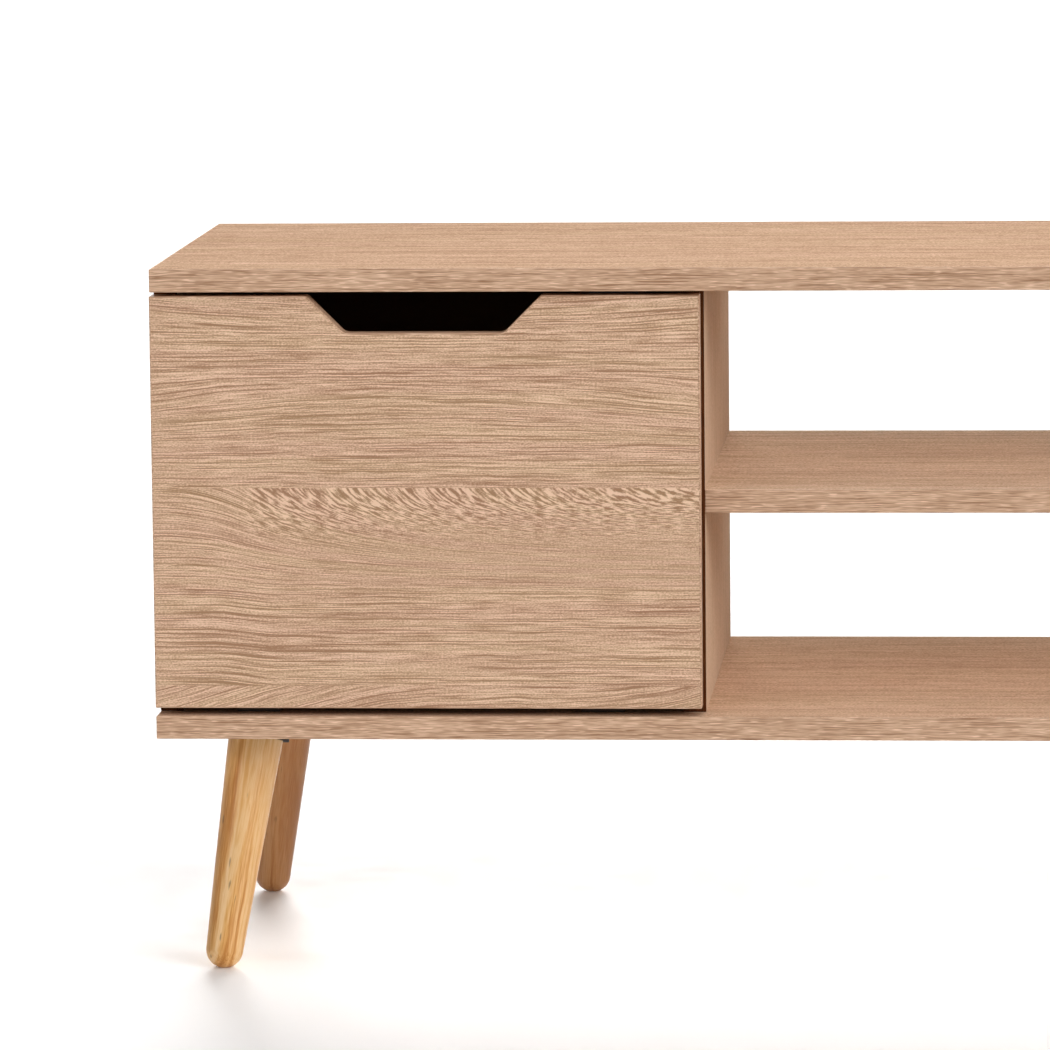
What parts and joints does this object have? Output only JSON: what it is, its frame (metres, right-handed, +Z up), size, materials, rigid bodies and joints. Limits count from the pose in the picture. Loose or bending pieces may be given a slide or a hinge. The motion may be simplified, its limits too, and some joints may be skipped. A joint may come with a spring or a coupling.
{
  "type": "tv stand",
  "caption": "Low oak-finish TV stand on splayed turned legs, with a drop-down door at each end and an open centre bay with a shelf.",
  "frame": {"origin": "on the floor, under the middle of the stand", "axes": "+X along the stand's length to the viewer's right, -Y out of its front, +Z up"},
  "size_m": [1.2014, 0.39, 0.497],
  "materials": {
    "oak_laminate_board": "matt oak-pattern laminate, fine grain along the length",
    "oak_laminate_upright": "matt oak-pattern laminate, grain along the height",
    "oak_edge_band": "matt oak-pattern edge band with fine grain along it",
    "dark_edge_band": "matt dark brown wood-pattern edge band",
    "oak_laminate_door": "embossed matt oak-pattern laminate, strong horizontal grain with a flame figure",
    "door_edge_band": "matt oak-pattern edge band",
    "hardboard": "plain brown hardboard",
    "leg_wood": "clear satin lacquer on striped golden hardwood",
    "beech_dowel": "raw fluted beech",
    "zinc_steel": "zinc plated",
    "cast_zinc": "raw die casting",
    "plate_steel": "black powder coat",
    "nickel_hinge": "black nickel plated",
    "catch_plastic": "brown, moulded, fine texture",
    "magnet": "raw ferrite",
    "strike_steel": "zinc plated"
  },
  "bodies": {
    "cabinet": {"top_panel": "oak_laminate_board", "top_edge_band": "oak_edge_band", "bottom_panel": "oak_laminate_board", "bottom_edge_band": "oak_edge_band", "side_panel_left": "oak_laminate_upright", "side_panel_right": "oak_laminate_upright", "side_edge_bands": "dark_edge_band", "divider_left": "oak_laminate_upright", "divider_right": "oak_laminate_upright", "divider_edge_bands": "dark_edge_band", "centre_shelf": "oak_laminate_board", "shelf_edge_bands": "oak_edge_band", "back_panel_left": "hardboard", "back_panel_right": "hardboard", "back_panel_nails": "zinc_steel", "cam_locks": "cast_zinc", "cam_bolts": "zinc_steel", "wood_dowels": "beech_dowel", "base_screws": "zinc_steel", "shelf_screws": "zinc_steel", "leg_front_left": "leg_wood", "leg_front_right": "leg_wood", "leg_rear_left": "leg_wood", "leg_rear_right": "leg_wood", "leg_plate_front_left": "plate_steel", "leg_plate_front_right": "plate_steel", "leg_plate_rear_left": "plate_steel", "leg_plate_rear_right": "plate_steel", "leg_bolts": "zinc_steel", "leg_nuts": "zinc_steel", "leg_plate_screws": "zinc_steel", "hinge_arms_left": "nickel_hinge", "hinge_arms_right": "nickel_hinge", "hinge_plates_left": "nickel_hinge", "hinge_plates_right": "nickel_hinge", "hinge_plate_screws": "zinc_steel", "hinge_arm_screws": "zinc_steel", "catch_body_left": "catch_plastic", "catch_body_right": "catch_plastic", "catch_magnets": "magnet", "catch_screws": "zinc_steel"},
    "door_left": {"door_panel_left": "oak_laminate_door", "door_band_left": "door_edge_band", "hinge_cups_left": "nickel_hinge", "hinge_pins_left": "nickel_hinge", "cup_screws_left": "zinc_steel", "strike_plate_left": "strike_steel", "strike_screws_left": "zinc_steel"},
    "door_right": {"door_panel_right": "oak_laminate_door", "door_band_right": "door_edge_band", "hinge_cups_right": "nickel_hinge", "hinge_pins_right": "nickel_hinge", "cup_screws_right": "zinc_steel", "strike_plate_right": "strike_steel", "strike_screws_right": "zinc_steel"}
  },
  "joints": [
    {"name": "door_left_drop", "type": "hinge", "parent": "cabinet", "child": "door_left", "pos_m": [-0.41085, -0.183, 0.1993], "axis": [1, 0, 0], "range_deg": [0, 90]},
    {"name": "door_right_drop", "type": "hinge", "parent": "cabinet", "child": "door_right", "pos_m": [0.41085, -0.183, 0.1993], "axis": [1, 0, 0], "range_deg": [0, 90]}
  ]
}
